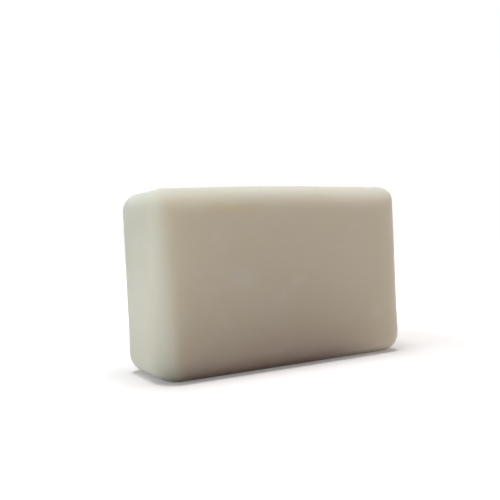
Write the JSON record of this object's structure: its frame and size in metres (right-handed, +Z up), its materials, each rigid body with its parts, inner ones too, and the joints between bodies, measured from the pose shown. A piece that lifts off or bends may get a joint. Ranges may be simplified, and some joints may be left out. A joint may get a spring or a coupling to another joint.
{
  "type": "shampoo bar",
  "caption": "Plain rectangular bar of solid shampoo with softly rounded edges, standing on its long narrow side.",
  "frame": {"origin": "centre of the flat underside that the bar stands on", "axes": "+X along the length, +Y from the front face to the back face, +Z up"},
  "size_m": [0.08, 0.029, 0.0515],
  "materials": {
    "soap": "ivory solid shampoo with a smooth waxy surface and a soft sheen"
  },
  "bodies": {
    "root": {"shampoo_bar": "soap"}
  },
  "joints": []
}
